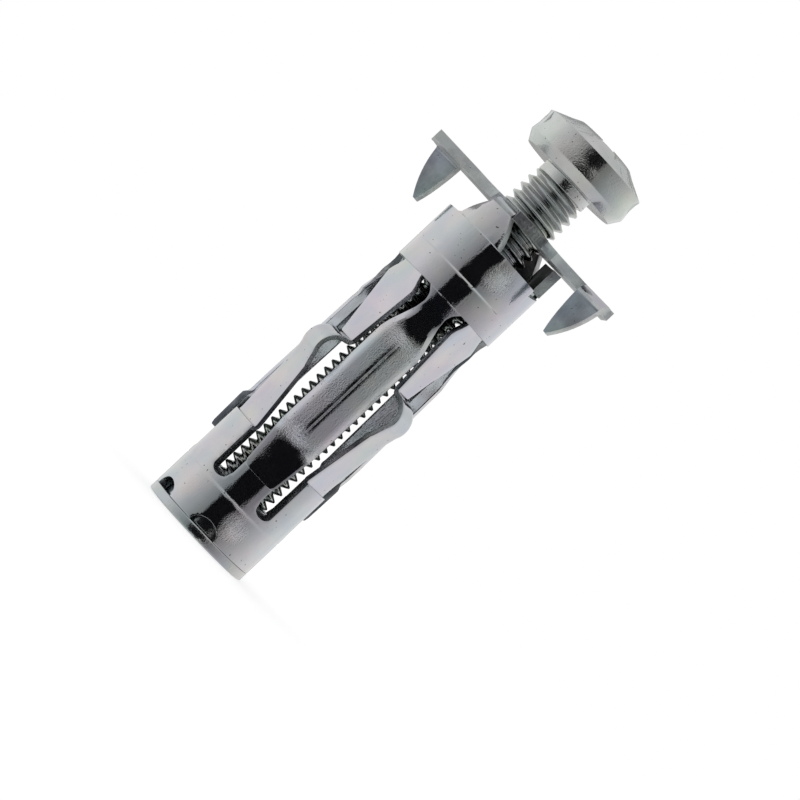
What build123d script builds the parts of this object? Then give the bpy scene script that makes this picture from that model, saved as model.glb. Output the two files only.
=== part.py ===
from build123d import *
from math import cos, radians, sin, tan
import os

# Expanding metal cavity anchor with its machine screw, in millimetres.
# The axis is Z, the nut's end face is z = 0 and the screw's head is on top.
# The front is -Y. Angles round the axis are counted from -Y towards +X.

# Sheet and tube
sheet = 0.8
sleeve_diameter = 10.0
anchor_length = 35.0
bead_depth = 0.1
bead_width = 0.7

# Lower ring, its tabs and its notches
rim_height = 0.8
lower_ring_height = 3.8
lower_bead_above_edge = 3.2
base_height = 8.3
tab_length = 2.4
slot_width = 1.7
slot_angle = 27.8
notch_width = 2.6
notch_height = 1.0
notch_angles = (-60, 0, 120, 180, 240)

# Upper ring and its relief beside the rear petal
upper_ring_height = 5.4
upper_bead_below_edge = 3.3
relief_depth = 0.6
relief_start_angle = 45
relief_width = 3.4
relief_slope = 12
seam_angle = 212
seam_gap = 0.12

# Straps
strap_count = 3
strap_length = 19.6
strap_half_width = 2.0
strap_neck_half_width = 1.08
strap_root_half_width = 1.7
strap_end_half_width = 1.55
strap_neck_drop = 1.1
strap_shoulder_drop = 4.8
strap_taper_drop = 15.3
strap_flare_angle = 1.0
strap_bevel_width = 0.4
strap_bevel_depth = 0.35
crease_width = 0.36
crease_depth = 0.16
crease_top_drop = 4.5
crease_length = 11.0

# Legs
panel_half_width = 2.45
panel_corner_half_width = 1.7
panel_corner_drop = 1.3
panel_arc_rise = 0.25
panel_length = 7.3
panel_top_inset = 0.93
panel_foot_inset = 1.32
leg_half_width = 1.24
lower_half_width = 1.5
lower_top_inset = 0.4
lower_foot_inset = 0.97
lower_panel_length = 5.9
knee_bulge = 0.6
knee_radius = 1.77
knee_rise = 0.1

# Flange, petals and claws
petal_height = 2.5
petal_lean = 0.5
petal_base_half_width = 2.5
petal_top_half_width = 1.05
petal_corner = 0.3
petal_angle = -28.5
bend_radius = 0.7
screw_hole_diameter = 5.8
split_offset = 1.04
split_gap = 0.12
front_block_reach = 5.35
front_block_width = 2.05
front_block_step = 0.6
wing_root = 5.4
wing_span = 19.3
wing_half_depth = 2.8
arc_sag = 0.55
wall_start_angle = 88
wall_end_angle = 124
wall_gap = 0.15
claw_length = 4.9
claw_width = 2.5
claw_centre = 7.85
claw_turn = -25
claw_tip_shift = -0.56
claw_tip_width = 0.22
claw_bulge = 0.45
claw_bend_radius = 0.6
claw_fold_angle = 90

# Screw and nut
screw_diameter = 5.0
screw_length = 39.0
head_gap = 4.46
head_height = 4.0
head_diameter = 10.0
head_seat_diameter = 8.9
head_top_diameter = 5.4
head_shoulder_diameter = 9.5
head_bevel_height = 0.9
head_shoulder_height = 2.9
neck_diameter = 4.7
neck_length = 0.9
recess_depth = 2.3
recess_half_length = 2.8
recess_foot_half_length = 0.9
recess_width = 1.15
tip_chamfer = 0.6
thread_clearance = 0.05
nut_height = 5.0
nut_clearance = 0.06
nut_chamfer = 0.45
bore_chamfer = 0.3

# Heights and radii that follow from the sizes above
outer_radius = sleeve_diameter / 2
inner_radius = outer_radius - sheet
wall_radius = outer_radius - sheet / 2
slot_foot = rim_height + lower_ring_height
base_top = rim_height + base_height
tab_top = slot_foot + tab_length
plate_underside = anchor_length - sheet
plate_middle = anchor_length - sheet / 2
ring_top = plate_underside - petal_height
ring_foot = ring_top - upper_ring_height
panel_foot = ring_foot - panel_length
lower_top = base_top + lower_panel_length
lower_bead = rim_height + lower_bead_above_edge
upper_bead = ring_top - upper_bead_below_edge
head_seat = anchor_length + head_gap
screw_tip = head_seat - screw_length

# Radius is drawn to the right and height upwards; extruding goes towards -X
radial_plane = Plane(origin=(0, 0, 0), x_dir=(0, -1, 0), z_dir=(-1, 0, 0))
# Width is drawn to the right and height upwards; extruding goes towards -Y
facing_plane = Plane.XZ


def folded_sheet(*points):
    """Section of the sheet whose middle line runs through the points."""
    with BuildSketch(radial_plane) as section:
        with BuildLine():
            Polyline(*points)
        trace(line_width=sheet)
    return section.sketch


# The tube wall below the legs, rolled to a shallow neck at its bead
with BuildPart() as lower_wall:
    add(folded_sheet(
        (wall_radius, rim_height),
        (wall_radius, lower_bead - bead_width / 2),
        (wall_radius - bead_depth, lower_bead),
        (wall_radius, lower_bead + bead_width / 2),
        (wall_radius, base_top),
    ))
    revolve(axis=Axis.Z)

# The tube wall above the legs, with a bead of its own
with BuildPart() as upper_wall:
    add(folded_sheet(
        (wall_radius, ring_foot),
        (wall_radius, upper_bead - bead_width / 2),
        (wall_radius - bead_depth, upper_bead),
        (wall_radius, upper_bead + bead_width / 2),
        (wall_radius, ring_top),
    ))
    revolve(axis=Axis.Z)

# One slot between a tab and a leg, open at the top and round at the foot
with BuildPart() as slot_cutter:
    with BuildSketch(facing_plane.offset(inner_radius - sheet)):
        with Locations((0, (slot_foot + base_top + sheet) / 2)):
            Rectangle(slot_width, base_top + sheet - slot_foot)
    extrude(amount=3 * sheet)
    fillet(slot_cutter.edges().filter_by(Axis.Y).group_by(Axis.Z)[0], slot_width * 0.45)

# The space above a tab, where the strap's free end hangs
with BuildPart() as tab_cutter:
    with BuildSketch(facing_plane.offset(inner_radius - 2 * sheet)):
        with Locations((0, (tab_top + base_top + sheet) / 2)):
            Rectangle(2 * strap_half_width, base_top + sheet - tab_top)
    extrude(amount=4 * sheet)

# Half-moon notch in the lower edge
with BuildPart() as notch_cutter:
    with BuildSketch(facing_plane.offset(inner_radius - sheet)):
        with Locations((0, rim_height)):
            Ellipse(notch_width / 2, notch_height)
    extrude(amount=3 * sheet)

# Relief beside the rear petal: a square side and a foot that rises
with BuildPart() as relief_cutter:
    with BuildSketch(facing_plane.offset(inner_radius - sheet)):
        with BuildLine():
            Polyline(
                (0, ring_top + sheet),
                (0, ring_top - relief_depth),
                (relief_width, ring_top - relief_depth / 4),
                (relief_width, ring_top + sheet),
                close=True,
            )
        make_face()
    extrude(amount=3 * sheet)

# Seam where the rolled sheet's edges meet, through both rings
with BuildPart() as seam_cutter:
    for foot, top in ((rim_height, slot_foot + slot_width), (ring_foot, ring_top)):
        with BuildSketch(Plane.XY.offset(foot)):
            with Locations((0, -wall_radius)):
                Rectangle(seam_gap, 2 * sheet)
        extrude(amount=top - foot)

# One strap: a strip of the flared wall, narrow at its neck and free at its foot
strap_flare = strap_length * tan(radians(strap_flare_angle))
strap_plane = Plane(
    origin=(0, -outer_radius, ring_foot),
    x_dir=(1, 0, 0),
    z_dir=(0, sin(radians(strap_flare_angle)), cos(radians(strap_flare_angle))),
)
bevel_start = strap_half_width - strap_bevel_width
bevel_back = outer_radius - (outer_radius**2 - bevel_start**2) ** 0.5
bevel_slope = strap_bevel_depth / strap_bevel_width
with BuildPart() as strap:
    with BuildSketch(radial_plane):
        with BuildLine():
            Polyline(
                (inner_radius, ring_foot),
                (outer_radius, ring_foot),
                (outer_radius + strap_flare, ring_foot - strap_length),
                (inner_radius + strap_flare, ring_foot - strap_length),
                close=True,
            )
        make_face()
    revolve(axis=Axis.Z)
    with BuildSketch(facing_plane):
        with BuildLine():
            foot_run = Polyline(
                (0, ring_foot - strap_length),
                (strap_end_half_width, ring_foot - strap_length),
                (strap_half_width, ring_foot - strap_taper_drop),
                (strap_half_width, ring_foot - strap_shoulder_drop),
            )
            neck_flank = Spline(
                foot_run @ 1,
                (strap_neck_half_width, ring_foot - strap_neck_drop),
                (strap_root_half_width, ring_foot),
                tangents=((0, 1), (1, 1)),
            )
            Line(neck_flank @ 1, (0, ring_foot))
            mirror(about=Plane.YZ)
        make_face()
    extrude(amount=2 * outer_radius, mode=Mode.INTERSECT)
    with BuildSketch(strap_plane.offset(-strap_length - sheet)):
        with BuildLine():
            Polyline(
                (bevel_start, bevel_back),
                (bevel_start + sheet, bevel_back + bevel_slope * sheet),
                (bevel_start + sheet, -sheet),
                (bevel_start, -sheet),
                close=True,
            )
        make_face()
        mirror(about=Plane.YZ)
    extrude(amount=strap_length, mode=Mode.SUBTRACT)
    with BuildSketch(strap_plane.offset(-crease_top_drop - crease_length)):
        with BuildLine():
            Polyline(
                (-crease_width, -crease_depth),
                (0, crease_depth),
                (crease_width, -crease_depth),
                close=True,
            )
        make_face()
    extrude(amount=crease_length, mode=Mode.SUBTRACT)

# One leg, folded from the sheet: flat panel, knee that stands out, flat lower panel
knee_centre = (outer_radius + knee_bulge - knee_radius, (panel_foot + lower_top) / 2 + knee_rise)
knee_middle_radius = knee_radius - sheet / 2
with BuildPart() as leg:
    with BuildSketch(radial_plane):
        with BuildLine():
            Polyline(
                (outer_radius + sheet, ring_foot + sheet / 2),
                (wall_radius - panel_top_inset, ring_foot + sheet / 2),
                (wall_radius - panel_foot_inset, panel_foot - sheet / 2),
                (knee_centre[0], knee_centre[1] + knee_middle_radius),
            )
            knee = CenterArc(knee_centre, knee_middle_radius, 90, -150)
            Polyline(
                knee @ 1,
                (wall_radius - lower_top_inset, lower_top),
                (wall_radius - lower_foot_inset, base_top - sheet / 2),
                (outer_radius + sheet, base_top - sheet / 2),
            )
        trace(line_width=sheet)
    extrude(amount=panel_half_width + sheet, both=True)
    with BuildSketch(facing_plane):
        with BuildLine():
            arch = ThreePointArc(
                (-panel_corner_half_width, ring_foot + 2 * sheet),
                (0, ring_foot + 2 * sheet + panel_arc_rise),
                (panel_corner_half_width, ring_foot + 2 * sheet),
            )
            Polyline(
                arch @ 1,
                (panel_corner_half_width, ring_foot),
                (panel_half_width, ring_foot - panel_corner_drop),
                (leg_half_width, panel_foot),
                (leg_half_width, lower_top + sheet / 2),
                (lower_half_width, lower_top),
                (lower_half_width, base_top - 2 * sheet),
                (-lower_half_width, base_top - 2 * sheet),
                (-lower_half_width, lower_top),
                (-leg_half_width, lower_top + sheet / 2),
                (-leg_half_width, panel_foot),
                (-panel_half_width, ring_foot - panel_corner_drop),
                (-panel_corner_half_width, ring_foot),
                arch @ 0,
            )
        make_face()
    extrude(amount=2 * outer_radius, mode=Mode.INTERSECT)
    with BuildSketch(radial_plane):
        with BuildLine():
            Polyline(
                (0, 0),
                (outer_radius, 0),
                (outer_radius, lower_top - sheet),
                (outer_radius + 2 * knee_bulge, lower_top + sheet),
                (outer_radius + 2 * knee_bulge, panel_foot),
                (outer_radius, panel_foot + 2 * sheet),
                (outer_radius, anchor_length),
                (0, anchor_length),
                close=True,
            )
        make_face()
    revolve(axis=Axis.Z, mode=Mode.INTERSECT)

# One petal: it rises from the upper ring, leans in and bends over into its half plate
petal_top_radius = wall_radius - petal_lean
with BuildPart() as petal:
    with BuildSketch(radial_plane):
        with BuildLine():
            FilletPolyline(
                (wall_radius, ring_top - sheet),
                (wall_radius, ring_top),
                (petal_top_radius, plate_middle),
                (screw_hole_diameter / 2, plate_middle),
                radius=[bend_radius, bend_radius],
            )
        trace(line_width=sheet)
    revolve(axis=Axis.Z)
    with BuildSketch(facing_plane):
        with BuildLine():
            base_corner = Polyline(
                (0, ring_top - sheet / 2),
                (petal_base_half_width, ring_top - sheet / 2),
                (petal_base_half_width, ring_top),
                (petal_base_half_width - petal_corner, ring_top + petal_corner / 2),
            )
            flank = Spline(
                base_corner @ 1,
                (petal_top_half_width, plate_underside),
                tangents=((-0.25, 1), (-0.7, 1)),
            )
            Polyline(
                flank @ 1,
                (petal_top_half_width, anchor_length),
                (0, anchor_length),
            )
            mirror(about=Plane.YZ)
        make_face()
    extrude(amount=2 * outer_radius, mode=Mode.INTERSECT)

# Square-shouldered wall beside the rear petal; it stops just under the plate
with BuildPart() as shoulder_wall:
    with BuildSketch(radial_plane):
        with Locations((wall_radius, (ring_top + plate_underside - wall_gap) / 2)):
            Rectangle(sheet, plate_underside - wall_gap - ring_top)
    revolve(axis=Axis.Z, revolution_arc=wall_end_angle - wall_start_angle)

# One claw, bent down from the wing and cut to a point
claw_foot = anchor_length - claw_length
with BuildPart() as claw:
    with BuildSketch(radial_plane):
        with BuildLine():
            run = Line((-sheet, plate_middle), (0, plate_middle))
            turn = JernArc(start=run @ 1, tangent=(1, 0), radius=claw_bend_radius, arc_size=-claw_fold_angle)
            Line(turn @ 1, (claw_bend_radius, claw_foot - sheet))
        trace(line_width=sheet)
    extrude(amount=claw_width / 2, both=True)
    with BuildSketch(facing_plane.offset(-2 * sheet)):
        with BuildLine():
            inner_edge = Spline(
                (-claw_width / 2, plate_underside),
                (claw_tip_shift - claw_tip_width / 2, claw_foot),
                tangents=((0.05, -1), (0.3, -1)),
            )
            Line(
                (claw_tip_shift - claw_tip_width / 2, claw_foot),
                (claw_tip_shift + claw_tip_width / 2, claw_foot),
            )
            outer_edge = ThreePointArc(
                (claw_tip_shift + claw_tip_width / 2, claw_foot),
                ((claw_tip_shift + claw_width / 2) / 2 + claw_bulge,
                 (claw_foot + plate_underside) / 2 + claw_bulge / 2),
                (claw_width / 2, plate_underside),
            )
            Polyline(
                (claw_width / 2, plate_underside),
                (claw_width / 2, anchor_length + sheet),
                (-claw_width / 2, anchor_length + sheet),
                (-claw_width / 2, plate_underside),
            )
        make_face()
    extrude(amount=4 * sheet + claw_bend_radius, mode=Mode.INTERSECT)

# The claw's own frame: its fold line crosses the wing's front edge at a slant
claw_frame = Location((claw_centre, -wing_half_depth - claw_bend_radius / 2, 0), (0, 0, claw_turn))
fold_near = (claw_frame * Location((-claw_width / 2, 0, 0))).position
fold_far = (claw_frame * Location((claw_width / 2, 0, 0))).position

# The right half of the flange; the left half is the same piece turned half round
with BuildPart() as half_plate:
    with BuildSketch(Plane.XY.offset(plate_underside)):
        with BuildLine():
            Polyline(
                (-split_offset, 0),
                (-split_offset, -front_block_reach),
                (front_block_width, -front_block_reach),
                (front_block_width, -front_block_reach + front_block_step),
            )
            SagittaArc(
                (front_block_width, -front_block_reach + front_block_step),
                (wing_root, -wing_half_depth),
                arc_sag,
            )
            Polyline(
                (wing_root, -wing_half_depth),
                (fold_near.X, fold_near.Y),
                (fold_far.X, fold_far.Y),
                (fold_far.X + sheet / 4, -wing_half_depth),
                (wing_span / 2, -wing_half_depth),
                (wing_span / 2, wing_half_depth),
                (wing_root, wing_half_depth),
            )
            SagittaArc(
                (wing_root, wing_half_depth),
                (petal_top_radius / 2 + sheet / 2, petal_top_radius - sheet),
                arc_sag,
            )
            Polyline(
                (petal_top_radius / 2 + sheet / 2, petal_top_radius - sheet),
                (split_offset + split_gap, petal_top_radius - sheet / 2),
                (split_offset + split_gap, 0),
                (-split_offset, 0),
            )
        make_face()
        Circle(screw_hole_diameter / 2, mode=Mode.SUBTRACT)
    extrude(amount=sheet)
    with Locations(claw_frame):
        add(claw.part)
    with Locations(Location((0, 0, 0), (0, 0, 180 + petal_angle))):
        add(petal.part)

# The sleeve is one rolled and folded sheet
with BuildPart() as sleeve:
    add(lower_wall.part)
    with PolarLocations(0, strap_count):
        add(tab_cutter.part, mode=Mode.SUBTRACT)
    for turn_angle in (-slot_angle, slot_angle):
        with PolarLocations(0, strap_count, start_angle=turn_angle):
            add(slot_cutter.part, mode=Mode.SUBTRACT)
    add(upper_wall.part)
    with Locations(Location((0, 0, 0), (0, 0, relief_start_angle + relief_slope))):
        add(relief_cutter.part, mode=Mode.SUBTRACT)
    with Locations(Location((0, 0, 0), (0, 0, wall_start_angle))):
        add(shoulder_wall.part)
    with Locations(Location((0, 0, 0), (0, 0, seam_angle))):
        add(seam_cutter.part, mode=Mode.SUBTRACT)
    with PolarLocations(0, strap_count):
        add(strap.part)
    with PolarLocations(0, strap_count, start_angle=180 / strap_count):
        add(leg.part)
    with PolarLocations(0, 2):
        add(half_plate.part)
    with Locations([Location((0, 0, 0), (0, 0, angle)) for angle in notch_angles]):
        add(notch_cutter.part, mode=Mode.SUBTRACT)
sleeve.part.label = "sleeve"

# The nut is a threaded collar with a rim on which the sleeve's edge stands
nut_radius = inner_radius - nut_clearance
bore_radius = screw_diameter / 2 + thread_clearance
with BuildPart() as end_nut:
    with BuildSketch(radial_plane):
        with BuildLine():
            Polyline(
                (bore_radius, bore_chamfer),
                (bore_radius + bore_chamfer, 0),
                (outer_radius, 0),
                (outer_radius, rim_height),
                (nut_radius, rim_height),
                (nut_radius, lower_bead - bead_width / 2),
                (nut_radius - bead_depth, lower_bead),
                (nut_radius, lower_bead + bead_width / 2),
                (nut_radius, nut_height - nut_chamfer),
                (nut_radius - nut_chamfer, nut_height),
                (bore_radius + bore_chamfer, nut_height),
                (bore_radius, nut_height - bore_chamfer),
                close=True,
            )
        make_face()
    revolve(axis=Axis.Z)
end_nut.part.label = "end_nut"

# The machine screw, turned and headed in one piece, with a cross recess
with BuildPart() as screw:
    with BuildSketch(radial_plane):
        with BuildLine():
            Polyline(
                (0, screw_tip),
                (screw_diameter / 2 - tip_chamfer, screw_tip),
                (screw_diameter / 2, screw_tip + tip_chamfer),
                (screw_diameter / 2, head_seat - neck_length),
                (neck_diameter / 2, head_seat - neck_length),
                (neck_diameter / 2, head_seat),
                (head_seat_diameter / 2, head_seat),
                (head_diameter / 2, head_seat + head_bevel_height),
                (head_shoulder_diameter / 2, head_seat + head_shoulder_height),
                (head_top_diameter / 2, head_seat + head_height),
                (0, head_seat + head_height),
                close=True,
            )
        make_face()
    revolve(axis=Axis.Z)
    head_corners = screw.edges().filter_by(GeomType.CIRCLE).group_by(SortBy.RADIUS)[-1]
    fillet(head_corners, head_bevel_height / 3)
    for wing_plane in (Plane.XZ, Plane.YZ):
        with BuildSketch(wing_plane):
            with BuildLine():
                Polyline(
                    (-recess_half_length, head_seat + head_height),
                    (recess_half_length, head_seat + head_height),
                    (recess_foot_half_length, head_seat + head_height - recess_depth),
                    (-recess_foot_half_length, head_seat + head_height - recess_depth),
                    close=True,
                )
            make_face()
        extrude(amount=recess_width / 2, both=True, mode=Mode.SUBTRACT)
screw.part.label = "screw"

os.makedirs("parts", exist_ok=True)
export_step(sleeve.part, "parts/sleeve.step")
export_step(end_nut.part, "parts/end_nut.step")
export_step(screw.part, "parts/screw.step")
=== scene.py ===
import bmesh
import bpy
import math
from mathutils import Matrix, Vector
from mathutils.geometry import delaunay_2d_cdt


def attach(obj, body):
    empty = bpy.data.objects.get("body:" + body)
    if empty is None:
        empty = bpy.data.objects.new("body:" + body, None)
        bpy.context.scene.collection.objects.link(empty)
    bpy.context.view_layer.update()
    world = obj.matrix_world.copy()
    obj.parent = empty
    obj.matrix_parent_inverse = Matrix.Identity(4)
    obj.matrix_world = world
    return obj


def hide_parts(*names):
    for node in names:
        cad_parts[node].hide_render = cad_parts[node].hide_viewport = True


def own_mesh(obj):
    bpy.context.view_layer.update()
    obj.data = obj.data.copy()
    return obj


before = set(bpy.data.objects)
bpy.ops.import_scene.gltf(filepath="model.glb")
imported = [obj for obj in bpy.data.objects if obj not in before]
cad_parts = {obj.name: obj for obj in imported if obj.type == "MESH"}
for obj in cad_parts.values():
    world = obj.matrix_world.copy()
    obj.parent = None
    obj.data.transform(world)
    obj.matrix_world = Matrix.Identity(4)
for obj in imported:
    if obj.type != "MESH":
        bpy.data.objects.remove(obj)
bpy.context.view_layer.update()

# Collar and flange. The upper ring of the rolled sleeve, the petals that bend over from it
# and the two half plates with their claws: one stamped steel sheet, zinc plated after folding.
# Its form is the sleeve solid's own, cut where the straps and legs begin, with softened edges.
mm = 0.001
sheet = 0.8 * mm
outer_radius = 5.0 * mm
ring_foot = 26.3 * mm
edge_softness, soft_edge_angle = 0.07 * mm, 35
merge_distance, flat_angle = 0.001 * mm, 0.6
zinc_pale = (0.53, 0.55, 0.59, 1)
zinc_warm = (0.61, 0.59, 0.60, 1)
speck_grey = (0.12, 0.12, 0.12, 1)
patch_scale, sheen_scale, speck_scale, pit_scale = 420, 260, 3600, 6200
drawn_scale = (9000, 9000, 260)
calm_scale, wave_scale = 380, 700
sheen_share, pit_share, haze_share = 0.15, 0.25, 0.09
grain_relief, swell_strength = 0.00006, 0.32


def number_step(tree, operation, *terms):
    """Adds one arithmetic node to a tree; each term is a number or a socket to wire in."""
    step = tree.nodes.new("ShaderNodeMath")
    step.operation = operation
    for socket, term in zip(step.inputs, terms):
        if isinstance(term, (int, float)):
            socket.default_value = term
        else:
            tree.links.new(term, socket)
    return step.outputs[0]


def range_step(tree, value, low, high, start=0, end=1):
    """Adds a node that stretches a value's range, low to high, to the range start to end."""
    step = tree.nodes.new("ShaderNodeMapRange")
    for socket, level in (("From Min", low), ("From Max", high), ("To Min", start), ("To Max", end)):
        step.inputs[socket].default_value = level
    tree.links.new(value, step.inputs["Value"])
    return step.outputs["Result"]


def zinc_grain_group():
    """Bright zinc plating: pale and warm patches, dark specks, fine dimples and drawn lines."""
    group = bpy.data.node_groups.new("zinc_grain", "ShaderNodeTree")
    for name, kind, start in (("Pale", "Color", zinc_pale), ("Warm", "Color", zinc_warm),
                              ("Dimple Size", "Float", 900.0), ("Dimple Depth", "Float", 0.2),
                              ("Gloss", "Float", 0.1), ("Streak", "Float", 0.3)):
        socket = group.interface.new_socket(name, in_out="INPUT", socket_type="NodeSocket" + kind)
        socket.default_value = start
    for name, kind in (("Color", "Color"), ("Roughness", "Float"), ("Normal", "Vector")):
        group.interface.new_socket(name, in_out="OUTPUT", socket_type="NodeSocket" + kind)
    node, wire = group.nodes.new, group.links.new
    given, result = node("NodeGroupInput"), node("NodeGroupOutput")
    place = node("ShaderNodeTexCoord").outputs["Object"]

    def noise(scale, detail, where=place):
        texture = node("ShaderNodeTexNoise")
        texture.inputs["Scale"].default_value = scale
        texture.inputs["Detail"].default_value = detail
        wire(where, texture.inputs["Vector"])
        return texture

    def colour_mix(share, first, second, blend="MIX"):
        mix = node("ShaderNodeMix")
        mix.data_type = "RGBA"
        mix.blend_type = blend
        sockets = (mix.inputs["Factor"], mix.inputs[6], mix.inputs[7])
        for socket, value in zip(sockets, (share, first, second)):
            if isinstance(value, (float, tuple)):
                socket.default_value = value
            else:
                wire(value, socket)
        return mix.outputs[2]

    patches = noise(patch_scale, 4).outputs["Fac"]
    tint = colour_mix(range_step(group, patches, 0.42, 0.68), given.outputs["Pale"], given.outputs["Warm"])
    sheen = colour_mix(sheen_share, tint, noise(sheen_scale, 2).outputs["Color"], "OVERLAY")
    specks = range_step(group, noise(speck_scale, 1).outputs["Fac"], 0.74, 0.78)
    wire(colour_mix(specks, sheen, speck_grey), result.inputs["Color"])
    haze = number_step(group, "MULTIPLY_ADD", patches, haze_share, given.outputs["Gloss"])
    wire(haze, result.inputs["Roughness"])
    dimples = noise(1, 3)
    dimples.inputs["Roughness"].default_value = 0.55
    wire(given.outputs["Dimple Size"], dimples.inputs["Scale"])
    pits = node("ShaderNodeTexVoronoi")
    pits.inputs["Scale"].default_value = pit_scale
    wire(place, pits.inputs["Vector"])
    pitted = number_step(group, "MULTIPLY_ADD", pits.outputs["Distance"], pit_share, dimples.outputs["Fac"])
    drawn = node("ShaderNodeMapping")
    drawn.inputs["Scale"].default_value = drawn_scale
    wire(place, drawn.inputs["Vector"])
    lines = noise(1, 2, drawn.outputs["Vector"]).outputs["Fac"]
    line_height = number_step(group, "MULTIPLY", lines, given.outputs["Streak"])
    height = number_step(group, "ADD", pitted, line_height)
    calm = range_step(group, noise(calm_scale, 2).outputs["Fac"], 0.35, 0.65, 0.35, 1.7)
    swell = node("ShaderNodeBump")
    swell.inputs["Distance"].default_value = grain_relief
    swell.inputs["Strength"].default_value = swell_strength
    wire(noise(wave_scale, 1).outputs["Fac"], swell.inputs["Height"])
    bump = node("ShaderNodeBump")
    bump.inputs["Distance"].default_value = grain_relief
    wire(swell.outputs["Normal"], bump.inputs["Normal"])
    wire(height, bump.inputs["Height"])
    wire(number_step(group, "MULTIPLY", given.outputs["Dimple Depth"], calm), bump.inputs["Strength"])
    wire(bump.outputs["Normal"], result.inputs["Normal"])
    return group


zinc_grain = zinc_grain_group()


def plated_steel(name, pale, warm, dimple_size, dimple_depth, gloss, streak):
    """A plated metal that places the grain with its own values."""
    material = bpy.data.materials.new(name)
    material.use_nodes = True
    node, wire = material.node_tree.nodes, material.node_tree.links.new
    surface = node["Principled BSDF"]
    surface.inputs["Metallic"].default_value = 1
    grain = node.new("ShaderNodeGroup")
    grain.name = "zinc_grain_place"
    grain.node_tree = zinc_grain
    for socket, value in (("Pale", pale), ("Warm", warm), ("Dimple Size", dimple_size),
                          ("Dimple Depth", dimple_depth), ("Gloss", gloss), ("Streak", streak)):
        grain.inputs[socket].default_value = value
    wire(grain.outputs["Color"], surface.inputs["Base Color"])
    wire(grain.outputs["Roughness"], surface.inputs["Roughness"])
    wire(grain.outputs["Normal"], surface.inputs["Normal"])
    return material


bright_depth = 0.09
bright_grain = (9500, bright_depth, 0.0, 0.3)
bright_zinc = plated_steel("bright_zinc", zinc_pale, zinc_warm, *bright_grain)
cut_zinc = plated_steel("cut_edge_zinc", (0.62, 0.66, 0.66, 1), (0.34, 0.35, 0.36, 1),
                        4200, 0.6, 0.26, 0.5)
cut_zinc.node_tree.nodes["Principled BSDF"].inputs["Metallic"].default_value = 0.2
# Near-black zinc for faces turned towards the axis: painted shade inside the collar, ring and legs.
inner_zinc_painted_shade = plated_steel("inner_zinc_painted_shade", (0.045, 0.047, 0.052, 1), (0.07, 0.065, 0.06, 1),
                          2600, 0.4, 0.3, 0.3)
# Claw faces: the sheet's zinc made darker and bluer, painted shade under the wings.
claw_zinc_painted_shade = plated_steel("claw_zinc_painted_shade", (0.37, 0.43, 0.47, 1), (0.20, 0.22, 0.25, 1),
                         3000, 0.15, 0.12, 0.3)
torn_zinc = plated_steel("torn_edge_zinc", (0.42, 0.44, 0.46, 1), (0.22, 0.23, 0.25, 1),
                         3600, 0.9, 0.3, 1.0)
tongue_zinc = plated_steel("tongue_back_zinc", (0.40, 0.43, 0.46, 1), (0.26, 0.27, 0.29, 1),
                           6000, 0.25, 0.08, 0.3)
# Cut edges of the lanced legs, straps and ring: a mottled edge grain, darkened to near black as painted
# shade in the slots.
lanced_zinc_painted_shade = plated_steel("lanced_edge_painted_shade", (0.10, 0.11, 0.125, 1), (0.34, 0.35, 0.37, 1),
                           4200, 0.8, 0.16, 0.6)
scuff_centres = ((1.75 * mm, -4.7 * mm, 30.2 * mm), (1.75 * mm, -4.7 * mm, 2.7 * mm))
scuff_core, scuff_edge, scuff_depth = 0.4 * mm, 1.5 * mm, 1.5
tree = bright_zinc.node_tree
where = tree.nodes.new("ShaderNodeTexCoord")
scuffed = 0
for centre in scuff_centres:
    reach = tree.nodes.new("ShaderNodeVectorMath")
    reach.operation = "DISTANCE"
    reach.inputs[1].default_value = centre
    tree.links.new(where.outputs["Object"], reach.inputs[0])
    fade = range_step(tree, reach.outputs["Value"], scuff_core, scuff_edge, scuff_depth, bright_depth)
    scuffed = number_step(tree, "MAXIMUM", fade, scuffed)
tree.links.new(scuffed, tree.nodes["zinc_grain_place"].inputs["Dimple Depth"])
show_face, show_edge, show_back = 0, 1, 2
claw_face, plate_edge, knee_edge = 3, 4, 3
# In these sets the inner, claw and lanced zincs are painted shade; the others are the plating's own
# finishes.
plate_finishes_and_shade = (bright_zinc, cut_zinc, inner_zinc_painted_shade, claw_zinc_painted_shade, torn_zinc)
lanced_finishes_and_shade = (bright_zinc, lanced_zinc_painted_shade, inner_zinc_painted_shade, torn_zinc)


def new_piece(name, work, finishes, softness):
    """Turns a bmesh into an object with softened edges and even shading."""
    mesh = bpy.data.meshes.new(name)
    for finish in finishes:
        mesh.materials.append(finish)
    bmesh.ops.recalc_face_normals(work, faces=work.faces)
    for face in work.faces:
        face.smooth = True
    work.to_mesh(mesh)
    work.free()
    rough = bpy.data.objects.new(name, mesh)
    bpy.context.scene.collection.objects.link(rough)
    bevel = rough.modifiers.new("soft_edges", "BEVEL")
    bevel.width = softness
    bevel.segments = 2
    bevel.limit_method = "ANGLE"
    bevel.angle_limit = math.radians(soft_edge_angle)
    even = rough.modifiers.new("even_shading", "WEIGHTED_NORMAL")
    even.keep_sharp = True
    evaluated = rough.evaluated_get(bpy.context.evaluated_depsgraph_get())
    dressed = bpy.data.meshes.new_from_object(evaluated)
    rough.modifiers.clear()
    rough.data = dressed
    dressed.name = name
    return rough


def copy_of_solid(node):
    """The CAD node's own mesh with its loose triangles merged into whole faces."""
    work = bmesh.new()
    work.from_mesh(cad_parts[node].data)
    bmesh.ops.remove_doubles(work, verts=work.verts, dist=merge_distance)
    return work


def cut_below(work, height):
    """Removes what lies under a level and closes the cut."""
    everything = list(work.verts) + list(work.edges) + list(work.faces)
    bmesh.ops.bisect_plane(work, geom=everything, plane_co=(0, 0, height),
                           plane_no=(0, 0, 1), clear_inner=True)
    rim = [edge for edge in work.edges if len(edge.link_faces) == 1]
    bmesh.ops.triangle_fill(work, edges=rim, use_beauty=True, use_dissolve=True)


def whole_faces(work):
    """Joins the triangles that lie in one plane."""
    bmesh.ops.dissolve_limit(work, angle_limit=math.radians(flat_angle), verts=work.verts,
                             edges=work.edges)


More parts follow.
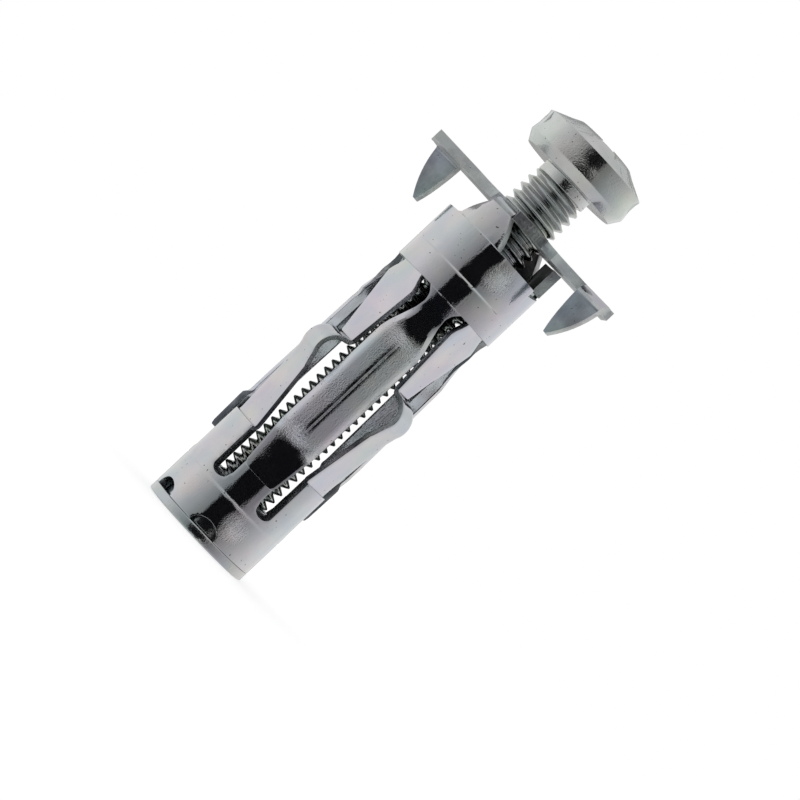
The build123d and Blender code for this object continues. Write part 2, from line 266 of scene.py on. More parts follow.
plate_underside = 34.2 * mm
wing_root, plate_fold = 5.45 * mm, 3.2 * mm
upper_bead, bead_reach = 28.4 * mm, 0.05 * mm
bead_depth, line_depth, line_half_width = 0.1 * mm, 0.045 * mm, 0.09 * mm
arc_rise, arc_half_angle = 0.34 * mm, 22.0
leg_spacing = 120
ring_overlap = 0.03 * mm
looks_out, looks_in, looks_across = 0.5, -0.4, 0.7
claw_facing = Vector((-0.4226, -0.9063, 0))
collar_mesh = copy_of_solid("sleeve")
cut_below(collar_mesh, ring_foot - ring_overlap)
whole_faces(collar_mesh)
for vertex in collar_mesh.verts:
    radius = math.hypot(vertex.co.x, vertex.co.y)
    if abs(vertex.co.z - upper_bead) < bead_reach and radius < outer_radius - bead_depth / 2:
        vertex.co.xy *= (radius + bead_depth) / radius
for vertex in collar_mesh.verts:
    azimuth = math.degrees(math.atan2(vertex.co.x, -vertex.co.y))
    about = azimuth % leg_spacing - leg_spacing / 2
    if vertex.co.z < ring_foot and abs(about) < arc_half_angle:
        vertex.co.z += arc_rise * (1 - (about / arc_half_angle) ** 2)
for level in (upper_bead - line_half_width, upper_bead, upper_bead + line_half_width):
    everything = list(collar_mesh.verts) + list(collar_mesh.edges) + list(collar_mesh.faces)
    bmesh.ops.bisect_plane(collar_mesh, geom=everything, plane_co=(0, 0, level),
                           plane_no=(0, 0, 1))
for vertex in collar_mesh.verts:
    radius = math.hypot(vertex.co.x, vertex.co.y)
    if abs(vertex.co.z - upper_bead) < merge_distance and radius > outer_radius - bead_depth / 2:
        vertex.co.xy *= (radius - line_depth) / radius
# Faces turned towards the axis take the near-black zinc, painted shade inside the collar; claw faces take
# the darker claw zinc, painted shade under the wings.
for face in collar_mesh.faces:
    middle = face.calc_center_median()
    outwards = Vector((middle.x, middle.y, 0)).normalized().dot(face.normal)
    face.material_index = show_edge
    if middle.z > plate_underside:
        if abs(face.normal.z) > looks_out:
            face.material_index = show_face
        elif abs(middle.x) <= plate_fold:
            face.material_index = plate_edge
    elif abs(middle.x) > wing_root:
        if abs(face.normal.dot(claw_facing)) > looks_across:
            face.material_index = claw_face
    elif outwards > looks_out:
        face.material_index = show_face
    elif outwards < looks_in:
        face.material_index = show_back
collar = new_piece("sleeve_collar", collar_mesh, plate_finishes_and_shade, edge_softness)
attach(collar, "sleeve")
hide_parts("sleeve")

# Straps. Three long tongues of the same sheet, left from the tube wall when the legs are cut out.
# Each is pressed to a shallow roof with a creased ridge, and hangs free over the end ring's tab.
strap_length = 19.6 * mm
strap_bevel_width = 0.4 * mm
strap_bevel_slope = 0.85
strap_flare = math.tan(math.radians(1.0))
roof_slope, roof_curve, roof_lift = 0.26, 36.0, 0.35 * mm
end_flatness, end_lean, roof_lean = 0.54, 0.06, 0.03
strap_sheet, edge_thinning = 0.5 * mm, 0.55
roof_top, roof_foot = 21.8 * mm, 10.9 * mm
roof_blend = 0.75 * mm
neck_flat_top = 24.6 * mm
crease_half_width, crease_shoulder = 0.12 * mm, 0.6
crease_depth = 0.07 * mm
bevel_start, bevel_full, bevel_share = 1.5 * mm, 3.5 * mm, 0.04
press_core, press_fade, press_share = 0.3 * mm, 1.3 * mm, 0.35
strap_root, upper_bend = 0.02 * mm, 21.2 * mm
lower_bend_top, lower_bend_foot, foot_taper = 11.6 * mm, 10.2 * mm, 7.1 * mm


def smooth_step(value, low, high):
    """Rises from 0 at low to 1 at high, level at both ends."""
    t = min(1, max(0, (value - low) / (high - low)))
    return t * t * (3 - 2 * t)


def strap_width_at(z):
    """Half width of a strap: root, narrow neck, shoulder, long straight sides, tapered foot."""
    drop = (ring_foot - z) / mm
    marks = ((-1, 1.7), (0, 1.7), (0.5, 1.25), (1.1, 1.08), (2.0, 1.2), (3.0, 1.5), (4.0, 1.82),
             (4.9, 2.0), (15.3, 2.0), (19.2, 1.6), (19.5, 1.45), (19.6, 1.3))
    for (low, start), (high, end) in zip(marks, marks[1:]):
        if drop <= high:
            t = (drop - low) / (high - low)
            return (start + (end - start) * t) * mm
    return marks[-1][1] * mm


def strap_point(u, z, depth, half_width):
    """Lateral and radial place of a strap's point; depth counts inwards from the outer face."""
    crest = outer_radius + (ring_foot - z) * strap_flare
    curved = crest - math.sqrt(max(crest ** 2 - u ** 2, 0))
    ending = 1 - smooth_step(z, roof_foot - roof_blend, roof_foot)
    neck = smooth_step(z, roof_top, roof_top + roof_blend)
    ending += neck * (1 - smooth_step(z, neck_flat_top, ring_foot))
    curved += (curved * (end_flatness - 1) - u * end_lean) * ending
    roofed = abs(u) * roof_slope + u * roof_lean + u ** 2 * roof_curve - roof_lift
    roof = smooth_step(z, roof_foot - roof_blend, roof_foot + roof_blend)
    roof *= 1 - smooth_step(z, roof_top - roof_blend, roof_top + roof_blend)
    sag = curved + (roofed - curved) * roof
    if depth == 0:
        sag += crease_depth * roof * max(0, 1 - abs(u) / crease_half_width)
        slant = smooth_step(ring_foot - z, bevel_start, bevel_full)
        slant *= bevel_share + (1 - bevel_share) * smooth_step(z, roof_foot - roof_blend, roof_foot)
        sag += max(0, abs(u) - half_width + strap_bevel_width) * strap_bevel_slope * slant
    else:
        sag *= 1 - edge_thinning * roof
    return u, crest - sag - depth


def turned(azimuth, lateral, radial, z):
    """A point in a frame that is turned about the axis; azimuth counts from -Y towards +X."""
    a = math.radians(azimuth)
    return Vector((radial * math.sin(a) + lateral * math.cos(a),
                   -radial * math.cos(a) + lateral * math.sin(a), z))


def pressed_at(z):
    """How much the press has roughened a strap at a level, most where the roof begins and ends."""
    inside = smooth_step(z, roof_foot - roof_blend, roof_foot)
    inside *= 1 - smooth_step(z, roof_top, roof_top + roof_blend)
    nearest = min(abs(z - roof_foot), abs(z - roof_top))
    return press_share * inside + (1 - press_share) * (1 - smooth_step(nearest, press_core, press_fade))


def ribbon(outer_rows, inner_rows, closed_start, closed_end):
    """A strip of sheet from rows of points on its outer and inner faces."""
    work = bmesh.new()
    pressed = work.verts.layers.float.new("pressed")
    outer = [[work.verts.new(p) for p in row] for row in outer_rows]
    for row in outer:
        for vertex in row:
            vertex[pressed] = pressed_at(vertex.co.z)
    inner = [[work.verts.new(p) for p in row] for row in inner_rows]
    for j in range(len(outer) - 1):
        for i in range(len(outer[0]) - 1):
            work.faces.new((outer[j][i], outer[j][i + 1], outer[j + 1][i + 1], outer[j + 1][i]))
            back = work.faces.new((inner[j][i + 1], inner[j][i], inner[j + 1][i], inner[j + 1][i + 1]))
            back.material_index = show_back
        for side in ((outer[j][0], outer[j + 1][0], inner[j + 1][0], inner[j][0]),
                     (outer[j + 1][-1], outer[j][-1], inner[j][-1], inner[j + 1][-1])):
            work.faces.new(side).material_index = show_edge
    for j, closed in ((0, closed_start), (-1, closed_end)):
        if closed:
            for i in range(len(outer[0]) - 1):
                end = work.faces.new((outer[j][i], outer[j][i + 1], inner[j][i + 1], inner[j][i]))
                end.material_index = show_edge
    return work


def steps(*runs):
    """Values that go from mark to mark, each run of (start, end, count) evenly divided."""
    values = []
    for start, end, count in runs:
        values += [start + (end - start) * k / count for k in range(count)]
    return values + [runs[-1][1]]


strap_zinc = plated_steel("strap_zinc", zinc_pale, zinc_warm, *bright_grain)
tree = strap_zinc.node_tree
pressed_mask = tree.nodes.new("ShaderNodeAttribute")
pressed_mask.attribute_name = "pressed"
for socket, plain, rough in (("Dimple Depth", 0.11, 0.9), ("Gloss", 0.0, 0.06)):
    blend = range_step(tree, pressed_mask.outputs["Fac"], 0, 1, plain, rough)
    tree.links.new(blend, tree.nodes["zinc_grain_place"].inputs[socket])
# The lanced zinc on the straps' cut edges is painted shade in the slots.
strap_finishes_and_shade = (strap_zinc, lanced_zinc_painted_shade, tongue_zinc)
strap_heights = steps((ring_foot + strap_root, upper_bend, 26), (upper_bend, lower_bend_top, 20),
                      (lower_bend_top, lower_bend_foot, 8), (lower_bend_foot, foot_taper, 8),
                      (foot_taper, ring_foot - strap_length, 4))
strap_shares = steps((0, 1, 5))
for number, azimuth in enumerate((0, 120, 240)):
    faces = []
    for depth in (0, strap_sheet):
        rows = []
        for z in strap_heights:
            w = strap_width_at(z)
            flat_edge = w - strap_bevel_width
            right = [0, crease_half_width * crease_shoulder, crease_half_width]
            right += [crease_half_width + (flat_edge - crease_half_width) * t for t in strap_shares[1:]]
            right += [w - strap_bevel_width / 2, w]
            across = [-u for u in reversed(right[1:])] + right
            rows.append([turned(azimuth, *strap_point(u, z, depth, w), z) for u in across])
        faces.append(rows)
    strap = new_piece(f"sleeve_strap_{number}", ribbon(*faces, True, True), strap_finishes_and_shade, edge_softness)
    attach(strap, "sleeve")
    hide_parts("sleeve")
    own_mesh(strap)

# Legs. Three folding legs between the straps: a flat panel set back from the ring, a knee that
# stands out, and a lower panel. Turning the screw folds them outwards behind the board.
panel_top_radius = 4.05 * mm
panel_foot_radius = 3.68 * mm
panel_bend = 0.12 * mm
panel_head, panel_foot = 27.0 * mm, 19.05 * mm
knee_radius, knee_start, knee_end = 1.77 * mm, 6, 118
knee_apex = 5.6 * mm
knee_height, knee_foot = 17.1 * mm, 15.2 * mm
lower_top = (5.03 * mm, 15.0 * mm)
base_top = 9.1 * mm
lower_foot_radius = 4.37 * mm
shelf_reach = 4.7 * mm
leg_sheet = 0.42 * mm


def leg_width_at(z):
    """Half width of a leg: wide panel narrowing to the knee, wider again at the foot."""
    marks = ((26.5, 1.7), (26.0, 1.75), (25.3, 2.2), (24.9, 2.42), (19.2, 1.2), (15.4, 1.2),
             (15.0, 1.38), (9.3, 1.8), (8.0, 1.82))
    height = z / mm
    for (high, start), (low, end) in zip(marks, marks[1:]):
        if height >= low:
            return (start + (end - start) * (high - height) / (high - low)) * mm
    return marks[-1][1] * mm


def leg_outline():
    """The outer face's line in the radial plane: upper panel and knee down to its apex, then the rest."""
    centre = knee_apex - knee_radius
    upper = [(panel_top_radius + (panel_foot_radius - panel_top_radius) * t,
              panel_head + (panel_foot + panel_bend - panel_head) * t) for t in steps((0, 1, 18))]
    upper += [(panel_foot_radius + 0.01 * mm, panel_foot),
              (panel_foot_radius + 0.08 * mm, panel_foot - panel_bend)]
    upper += [(centre + knee_radius * math.sin(a), knee_height + knee_radius * math.cos(a))
              for a in steps((math.radians(knee_start), math.pi / 2, 14))]
    lower = [(centre + knee_radius * math.sin(a), knee_height + knee_radius * math.cos(a))
             for a in steps((math.pi / 2, math.radians(knee_end), 6))]
    lower += [(lower_top[0] + 0.05 * mm, lower_top[1] + 0.2 * mm), lower_top]
    lower += [(lower_top[0] + (lower_foot_radius - lower_top[0]) * t,
               lower_top[1] + (base_top + 0.2 * mm - lower_top[1]) * t) for t in steps((0, 1, 12))[1:]]
    lower += [(lower_foot_radius + 0.03 * mm, base_top + 0.05 * mm),
              (lower_foot_radius + 0.12 * mm, base_top - 0.01 * mm), (shelf_reach, base_top - 0.02 * mm)]
    return upper, lower


def inner_line(line):
    """The same line one sheet thickness further in."""
    inside = []
    for k, (r, z) in enumerate(line):
        before, after = line[max(k - 1, 0)], line[min(k + 1, len(line) - 1)]
        along = Vector((after[0] - before[0], after[1] - before[1])).normalized()
        inside.append((r + along.y * leg_sheet, z - along.x * leg_sheet))
    return inside


upper_line, lower_line = leg_outline()
for number, azimuth in enumerate((60, 180, 300)):
    for name, body, line, closed in (("upper", "sleeve", upper_line, False),
                                     ("lower", "nut", lower_line, True)):
        faces = [[[turned(azimuth, leg_width_at(z) * t, r, z2) for t in steps((-1, 1, 6))]
                  for (_, z), (r, z2) in zip(line, side)] for side in (line, inner_line(line))]
        # Back faces take the near-black zinc and cut edges the dark lanced zinc, both painted shade; edges
        # round the knee take the torn-edge zinc.
        work = ribbon(*faces, False, closed)
        for face in work.faces:
            if face.material_index == show_edge and knee_foot < face.calc_center_median().z < panel_foot:
                face.material_index = knee_edge
        leg = new_piece(f"sleeve_leg_{name}_{number}", work, lanced_finishes_and_shade, edge_softness)
        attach(leg, body)
        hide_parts("sleeve")
        if name == "upper":
            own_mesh(leg)
        else:
            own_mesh(leg)

# End ring. The sleeve's lower end round the nut: a ring with a rolled bead and half-moon notches,
# three tabs under the straps and three bases that carry the legs. Its seam is at the back.
rim_height = 0.8 * mm
slot_foot = 4.6 * mm
tab_top = 7.0 * mm
bead_height = 4.0 * mm
bead_half_width = 0.1 * mm
seam_angle = 212
seam_half_angle = 0.7
tab_half_angle = 17.7
tab_foot_half_angle = 19.2
base_edge_angle = 37.9
slot_corner = 0.55 * mm
notch_half_angle = 15
notch_height = 1.0 * mm
notch_angles = (240, 300, 360, 480, 540)
tab_angles = (240, 360, 480, 600)
tab_shoulder = 1.0 * mm
outline_step, seed_clearance = 0.28 * mm, 0.12 * mm
ring_step, seed_start = 3.0, 1.5
bead_seeds, bead_seed_step = 179, 2
seed_rows, seed_first, seed_rise = 40, 0.15, 0.21
keep_inside, snap_distance = 1, 1e-7


def ring_outline():
    """The blank's outline as (azimuth, height), once round from the seam, then back along the top."""
    points = [(seam_angle + seam_half_angle, rim_height)]
    for centre in notch_angles:
        points += [(centre + notch_half_angle * math.cos(a), rim_height + notch_height * math.sin(a))
                   for a in steps((math.pi, 0, 14))]
    end = seam_angle + 360 - seam_half_angle
    top = []
    for centre in tab_angles:
        for side in (-1, 1):
            tab_edge, base_edge = centre + side * tab_half_angle, centre + side * base_edge_angle
            wide = centre + side * tab_foot_half_angle
            middle = (wide + base_edge) / 2
            reach = abs(base_edge - wide) / 2
            curve = [(middle + side * reach * math.cos(a), slot_foot + slot_corner * (1 - math.sin(a)))
                     for a in steps((0, math.pi, 10))]
            slot = [(base_edge, base_top)] + curve
            slot += [(tab_edge, slot_foot + tab_shoulder), (tab_edge, tab_top)]
            top += slot if side < 0 else list(reversed(slot))
    top = [p for p in top if seam_angle + seam_half_angle < p[0] < end]
    left = [(seam_angle + seam_half_angle, slot_foot)]
    return points + [(end, rim_height), (end, slot_foot)] + list(reversed(top)) + left


def dense(points, reach):
    """The closed outline with long edges divided; one degree counts as one step of arc."""
    result = []
    for (a0, z0), (a1, z1) in zip(points, points[1:] + points[:1]):
        length = math.hypot(math.radians(a1 - a0) * outer_radius, z1 - z0)
        count = max(1, round(length / reach))
        result += [(a0 + (a1 - a0) * k / count, z0 + (z1 - z0) * k / count) for k in range(count)]
    return result


def ring_radius_at(z):
    """The ring's outer radius at a level, a little less along the rolled bead line."""
    return outer_radius - line_depth * max(0, 1 - abs(z - bead_height) / bead_half_width)


outline = dense(ring_outline(), outline_step)
flat = [Vector((math.radians(a) * outer_radius, z)) for a, z in outline]
edges = [(k, (k + 1) % len(flat)) for k in range(len(flat))]
inside_points = [Vector((math.radians(seam_angle + seed_start + bead_seed_step * k) * outer_radius,
                         bead_height + shift))
                 for k in range(bead_seeds) for shift in (-bead_half_width, 0, bead_half_width)]
for column in range(int(360 / ring_step)):
    for row in range(seed_rows):
        p = Vector((math.radians(seam_angle + seed_start + column * ring_step) * outer_radius,
                    rim_height + (seed_first + seed_rise * row) * mm))
        off_bead = abs(p.y - bead_height) > 2 * bead_half_width
        if p.y < base_top and off_bead and min((p - q).length for q in flat) > seed_clearance:
            inside_points.append(p)
points, _, triangles, _, _, _ = delaunay_2d_cdt(flat + inside_points, edges, [], keep_inside, snap_distance)
ring_mesh = bmesh.new()
layers = []
for depth in (0, sheet):
    layers.append([])
    for p in points:
        azimuth = math.degrees(p.x / outer_radius)
        layers[-1].append(ring_mesh.verts.new(turned(azimuth, 0, ring_radius_at(p.y) - depth, p.y)))
# The inner face takes the near-black zinc and the cut walls the dark lanced zinc: painted shade inside the
# ring and its slots.
for triangle in triangles:
    ring_mesh.faces.new([layers[0][k] for k in triangle])
    ring_mesh.faces.new([layers[1][k] for k in reversed(triangle)]).material_index = show_back
for edge in [e for e in ring_mesh.edges if len(e.link_faces) == 1 and e.verts[0] in set(layers[0])]:
    a, b = (layers[0].index(v) for v in edge.verts)
    wall = ring_mesh.faces.new((layers[0][a], layers[0][b], layers[1][b], layers[1][a]))
    wall.material_index = show_edge
end_ring = new_piece("sleeve_end_ring", ring_mesh, lanced_finishes_and_shade, edge_softness)
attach(end_ring, "nut")
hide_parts("sleeve")

# End nut. A turned steel collar with an inside thread. Its rim carries the sleeve's lower edge,
# and the sleeve is rolled into its groove, which keeps it in the ring.
nut_softness = 0.1 * mm
nut_steel = plated_steel("nut_plating", (0.50, 0.52, 0.55, 1), (0.54, 0.53, 0.52, 1),
                         4000, 0.3, 0.1, 0.15)
nut_mesh = copy_of_solid("end_nut")
whole_faces(nut_mesh)
nut = new_piece("end_nut_turned", nut_mesh, (nut_steel,), nut_softness)
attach(nut, "nut")
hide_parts("end_nut")

# Screw. A machine screw headed in one piece with a cross recess; its rolled M5 by 0.8 thread runs from the
# neck to the tip, and it is plated duller than the sleeve. The thread's darker colour is painted shade.
screw_plating = plated_steel("screw_plating", (0.53, 0.55, 0.53, 1), (0.62, 0.63, 0.61, 1),
                             7000, 0.3, 0.09, 0.1)
# The thread's plating is darker than the head's, though both are one screw: painted shade on the thread.
thread_plating_painted_shade = plated_steel("thread_plating_painted_shade", (0.40, 0.43, 0.41, 1), (0.50, 0.52, 0.49, 1),
                              8000, 0.2, 0.04, 0.1)
thread_top, thread_tip = 38.56 * mm, 0.46 * mm
neck_overlap, neck_cut = 0.35 * mm, 0.05 * mm
tip_chamfer, runout_end = 0.6 * mm, 0.2 * mm
thread_smooth_angle = 75
pitch = 0.8 * mm
crest_radius = 2.5 * mm
core_radius = 2.02 * mm
runout_radius, runout = 2.36 * mm, 0.9 * mm
rim_zone, rim_softness, rim_angle = 3.3 * mm, 0.5 * mm, 12
shoulder_radius, shoulder_lift = 4.75 * mm, 0.2 * mm
head_softness, head_tolerance = 0.12 * mm, 0.02 * mm
head_mesh = copy_of_solid("screw")
cut_below(head_mesh, thread_top + neck_cut)
whole_faces(head_mesh)
for vertex in head_mesh.verts:
    radius = math.hypot(vertex.co.x, vertex.co.y)
    if abs(radius - shoulder_radius) < head_tolerance:
        vertex.co.xy *= (shoulder_radius + shoulder_lift) / radius
rims = []
for edge in head_mesh.edges:
    outside = all(math.hypot(v.co.x, v.co.y) > rim_zone for v in edge.verts)
    if outside and len(edge.link_faces) == 2 and edge.calc_face_angle() > math.radians(rim_angle):
        if abs(edge.verts[0].co.z - edge.verts[1].co.z) < head_tolerance:
            rims.append(edge)
bmesh.ops.bevel(head_mesh, geom=rims, offset=rim_softness, segments=6, profile=0.5, affect="EDGES",
                clamp_overlap=True)
head = new_piece("screw_head", head_mesh, (screw_plating,), head_softness)
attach(head, "screw")
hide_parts("screw")


def thread_tree():
    """Geometry nodes that wind a ridge of a given pitch round a core."""
    tree = bpy.data.node_groups.new("rolled_thread", "GeometryNodeTree")
    tree.interface.new_socket("Geometry", in_out="OUTPUT", socket_type="NodeSocketGeometry")
    for name, kind in (("Pitch", "Float"), ("Length", "Float"), ("Crest Radius", "Float"),
                       ("Core Radius", "Float"), ("Material", "Material")):
        tree.interface.new_socket(name, in_out="INPUT", socket_type="NodeSocket" + kind)
    node, wire = tree.nodes.new, tree.links.new
    given, result = node("NodeGroupInput"), node("NodeGroupOutput")
    length, ridge_pitch = given.outputs["Length"], given.outputs["Pitch"]
    core, crest = given.outputs["Core Radius"], given.outputs["Crest Radius"]
    helix = node("GeometryNodeCurveSpiral")
    helix.inputs["Resolution"].default_value = 48
    wire(number_step(tree, "DIVIDE", length, ridge_pitch), helix.inputs["Rotations"])
    wire(core, helix.inputs["Start Radius"])
    wire(core, helix.inputs["End Radius"])
    wire(length, helix.inputs["Height"])
    upright = node("GeometryNodeSetCurveNormal")
    upright.mode = "Z_UP"
    wire(helix.outputs["Curve"], upright.inputs["Curve"])
    flank = node("GeometryNodeCurvePrimitiveQuadrilateral")
    flank.mode = "POINTS"
    rise = number_step(tree, "SUBTRACT", crest, core)
    corners = ((-0.05, 0.47), (1, 0.08), (1, -0.08), (-0.05, -0.47))
    for number, (out, along) in enumerate(corners, 1):
        corner = node("ShaderNodeCombineXYZ")
        wire(number_step(tree, "MULTIPLY", rise, -out), corner.inputs["X"])
        wire(number_step(tree, "MULTIPLY", ridge_pitch, along), corner.inputs["Y"])
        wire(corner.outputs["Vector"], flank.inputs[f"Point {number}"])
    ridge = node("GeometryNodeCurveToMesh")
    ridge.inputs["Fill Caps"].default_value = True
    wire(upright.outputs["Curve"], ridge.inputs["Curve"])
    wire(flank.outputs["Curve"], ridge.inputs["Profile Curve"])
    barrel = node("GeometryNodeMeshCylinder")
    barrel.inputs["Vertices"].default_value = 64
    wire(core, barrel.inputs["Radius"])
    wire(length, barrel.inputs["Depth"])
    lift = node("ShaderNodeCombineXYZ")
    wire(number_step(tree, "MULTIPLY", length, 0.5), lift.inputs["Z"])
    raised = node("GeometryNodeTransform")
    wire(barrel.outputs["Mesh"], raised.inputs["Geometry"])
    wire(lift.outputs["Vector"], raised.inputs["Translation"])
    joined = node("GeometryNodeJoinGeometry")
    wire(ridge.outputs["Mesh"], joined.inputs["Geometry"])
    wire(raised.outputs["Geometry"], joined.inputs["Geometry"])
    real = node("GeometryNodeRealizeInstances")
    wire(joined.outputs["Geometry"], real.inputs["Geometry"])
    coated = node("GeometryNodeSetMaterial")
    wire(real.outputs["Geometry"], coated.inputs["Geometry"])
    wire(given.outputs["Material"], coated.inputs["Material"])
    wire(coated.outputs["Geometry"], result.inputs["Geometry"])
    return tree


blank = bpy.data.objects.new("screw_thread", bpy.data.meshes.new("screw_thread"))
bpy.context.scene.collection.objects.link(blank)
winding = blank.modifiers.new("thread", "NODES")
winding.node_group = thread_tree()
sockets = {s.name: s.identifier for s in winding.node_group.interface.items_tree if s.in_out == "INPUT"}
winding[sockets["Pitch"]] = pitch
winding[sockets["Length"]] = thread_top + neck_overlap - thread_tip
winding[sockets["Crest Radius"]] = crest_radius
winding[sockets["Core Radius"]] = core_radius
winding[sockets["Material"]] = thread_plating_painted_shade
blank.data.update()
evaluated = blank.evaluated_get(bpy.context.evaluated_depsgraph_get())
wound = bpy.data.meshes.new_from_object(evaluated)
blank.modifiers.clear()
blank.data = wound
wound.transform(Matrix.Translation((0, 0, thread_tip)))
wound.shade_smooth()
wound.set_sharp_from_angle(angle=math.radians(thread_smooth_angle))
for vertex in wound.vertices:
    limit = crest_radius - max(0, thread_tip + tip_chamfer - vertex.co.z)
    ending = smooth_step(vertex.co.z, thread_top - runout, thread_top + runout_end)
    limit -= (crest_radius - runout_radius) * ending
    radius = math.hypot(vertex.co.x, vertex.co.y)
    if radius > limit:
        vertex.co.x *= limit / radius
        vertex.co.y *= limit / radius
    vertex.co.z = min(thread_top + neck_overlap, max(thread_tip, vertex.co.z))
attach(blank, "screw")
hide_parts("screw")

# Studio. A pale floor under the standing part, a white tent that is open towards the camera, two
# broad soft lamps, and dark cards out of the camera's sight that the plating mirrors as a black band.
floor_size, floor_drop = 1.2, 0.02 * mm
paper_low, paper_high, paper_glow = 0.86, 0.88, 0.5


def flat_card(name, width, height, centre, facing, material):
    """A staged rectangle that faces a point."""
    mesh = bpy.data.meshes.new(name)
    mesh.from_pydata([(-width / 2, -height / 2, 0), (width / 2, -height / 2, 0),
                      (width / 2, height / 2, 0), (-width / 2, height / 2, 0)], [], [(0, 1, 2, 3)])
    mesh.materials.append(material)
    card = bpy.data.objects.new(name, mesh)
    bpy.context.scene.collection.objects.link(card)
    card.location = centre
    card.rotation_mode = "QUATERNION"
    card.rotation_quaternion = (Vector(facing) - Vector(centre)).to_track_quat("Z", "Y")
    return card


def floor_paper():
    """White paper: lit like paper, and seen as near white, with the shadow left in it."""
    material = bpy.data.materials.new("floor_paper")
    material.use_nodes = True
    tree = material.node_tree
    surface = tree.nodes["Principled BSDF"]
    surface.inputs["Roughness"].default_value = 0.9
    surface.inputs["Emission Color"].default_value = (1, 1, 1, 1)
    fibre = tree.nodes.new("ShaderNodeTexNoise")
    fibre.inputs["Scale"].default_value = 300
    tone = range_step(tree, fibre.outputs["Fac"], 0, 1, paper_low, paper_high)
    tree.links.new(tone, surface.inputs["Base Color"])
    seen = tree.nodes.new("ShaderNodeLightPath").outputs
    either = number_step(tree, "MAXIMUM", seen["Is Camera Ray"], seen["Is Glossy Ray"])
    glow = number_step(tree, "MULTIPLY", either, paper_glow)
    tree.links.new(glow, surface.inputs["Emission Strength"])
    return material


def card_board(name, colour):
    """Matt board that mirrors nothing."""
    material = bpy.data.materials.new(name)
    material.use_nodes = True
    surface = material.node_tree.nodes["Principled BSDF"]
    surface.inputs["Base Color"].default_value = colour
    surface.inputs["Roughness"].default_value = 1
    surface.inputs["Specular IOR Level"].default_value = 0
    return material


floor = flat_card("floor", floor_size, floor_size, (0, 0, -floor_drop), (0, 0, 1), floor_paper())
floor.visible_glossy = False
black_board = card_board("black_board", (0.013, 0.013, 0.015, 1))
card_distance = 0.6
for name, low, high, foot, top in (("black_card", -20, 22, -0.26, 0.19),
                                   ("black_card_top", -9, 11, 0.19, 0.33)):
    width = 2 * card_distance * math.tan(math.radians(high - low) / 2)
    place = turned((low + high) / 2, 0, card_distance, (foot + top) / 2)
    card = flat_card(name, width, top - foot, place, (0, 0, place.z), black_board)
    card.visible_camera = False
    card.visible_shadow = False
    card.visible_diffuse = False

world = bpy.data.worlds.new("surround")
bpy.context.scene.world = world
world.use_nodes = True
tree = world.node_tree
sky = tree.nodes["Background"]
sky.inputs["Color"].default_value = (1, 1, 1, 1)
rays = tree.nodes.new("ShaderNodeLightPath").outputs
shown = number_step(tree, "MAXIMUM", rays["Is Camera Ray"], rays["Is Glossy Ray"])
direction = tree.nodes.new("ShaderNodeTexCoord")
parted = tree.nodes.new("ShaderNodeSeparateXYZ")
tree.links.new(direction.outputs["Generated"], parted.inputs["Vector"])
away = number_step(tree, "MULTIPLY", parted.outputs["Y"], -1)
bearing = number_step(tree, "ARCTAN2", parted.outputs["X"], away)
tent = tree.nodes.new("ShaderNodeValToRGB")
tree.links.new(range_step(tree, bearing, -math.pi, math.pi), tent.inputs["Fac"])
front_level, wall_level, rear_level = 0.27, 0.92, 0.4
overhead_level, diffuse_level = 0.72, 0.6
overhead_start, overhead_full = 0.25, 0.65
tent_levels = ((-180, rear_level), (-160, wall_level), (-90, wall_level), (-20, front_level),
               (30, front_level), (120, wall_level), (160, wall_level), (180, rear_level))
stops = tent.color_ramp.elements
stops[0].position, stops[-1].position = 0, 1
for azimuth, _ in tent_levels[1:-1]:
    stops.new((azimuth + 180) / 360)
for stop, (_, tone) in zip(stops, tent_levels):
    stop.color = (tone, tone, tone, 1)
steepness = number_step(tree, "ABSOLUTE", parted.outputs["Z"])
falloff = tree.nodes.new("ShaderNodeMix")
falloff.inputs["B"].default_value = overhead_level
tree.links.new(range_step(tree, steepness, overhead_start, overhead_full), falloff.inputs["Factor"])
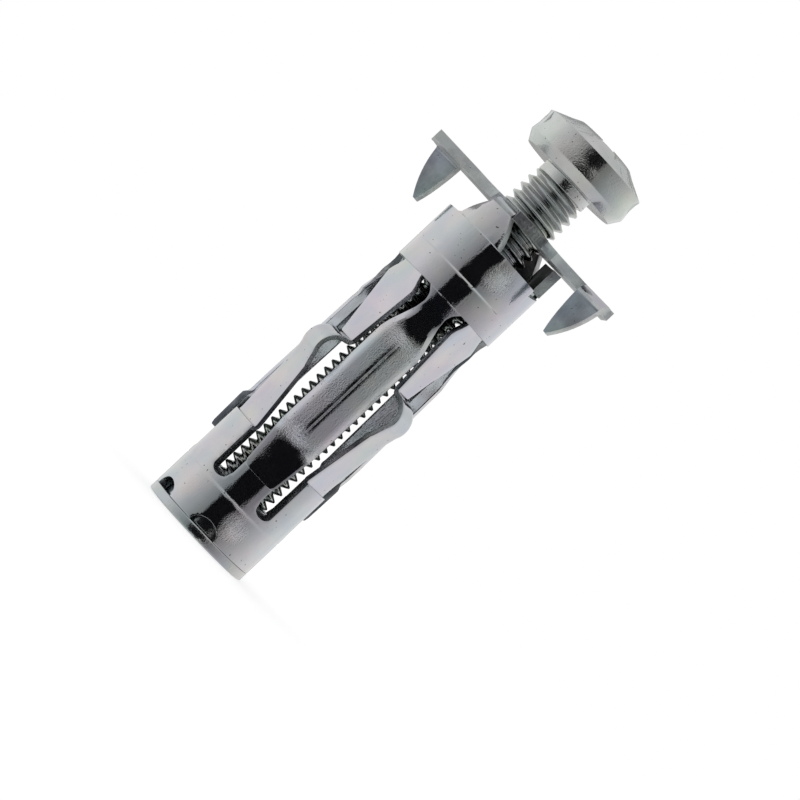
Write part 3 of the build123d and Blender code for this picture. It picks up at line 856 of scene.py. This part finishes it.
tree.links.new(tent.outputs["Color"], falloff.inputs["A"])
seen_white = number_step(tree, "MAXIMUM", rays["Is Camera Ray"], falloff.outputs["Result"])
level = tree.nodes.new("ShaderNodeMix")
level.inputs["A"].default_value = diffuse_level
tree.links.new(shown, level.inputs["Factor"])
tree.links.new(seen_white, level.inputs["B"])
tree.links.new(level.outputs["Result"], sky.inputs["Strength"])

lamp_distance, lamp_aim = 0.7, Vector((0, 0, 0.02))
for name, azimuth, height, energy, size in (("lamp_left", -60, 0.55, 0.35, 0.5),
                                            ("lamp_right", 50, 0.02, 0.03, 0.14)):
    light = bpy.data.lights.new(name, "AREA")
    light.energy = energy
    light.size = size
    lamp = bpy.data.objects.new(name, light)
    bpy.context.scene.collection.objects.link(lamp)
    lamp.location = turned(azimuth, 0, lamp_distance, height)
    lamp.visible_glossy = False
    lamp.rotation_mode = "QUATERNION"
    lamp.rotation_quaternion = (lamp.location - lamp_aim).to_track_quat("Z", "Y")

# Camera. It looks level at the part's side, rolled so that the part leans with its head up to the
# right, from far off with a long lens.
camera_azimuth = -2.5
camera_distance = 310 * mm
axis_lean = 43.25
target_across, target_up = 3.35 * mm, 18.55 * mm
frame_pixels, pixels_per_mm = 800, 12.98
field_width = frame_pixels / pixels_per_mm * mm
sensor_width = 36
lean = math.radians(axis_lean)
across = turned(camera_azimuth, 1, 0, 0)
back = turned(camera_azimuth, 0, 1, 0)
right = across * math.sin(lean) + Vector((0, 0, math.cos(lean)))
up = Vector((0, 0, math.sin(lean))) - across * math.cos(lean)
lens = bpy.data.cameras.new("camera")
lens.sensor_width = sensor_width
lens.lens = sensor_width * camera_distance / field_width
lens.clip_start, lens.clip_end = 0.01, 10
camera = bpy.data.objects.new("camera", lens)
bpy.context.scene.collection.objects.link(camera)
camera.rotation_mode = "QUATERNION"
camera.rotation_quaternion = Matrix((right, up, back)).transposed().to_quaternion()
camera.location = across * target_across + Vector((0, 0, target_up)) + back * camera_distance
bpy.context.scene.camera = camera
bpy.context.scene.view_settings.view_transform = "Standard"
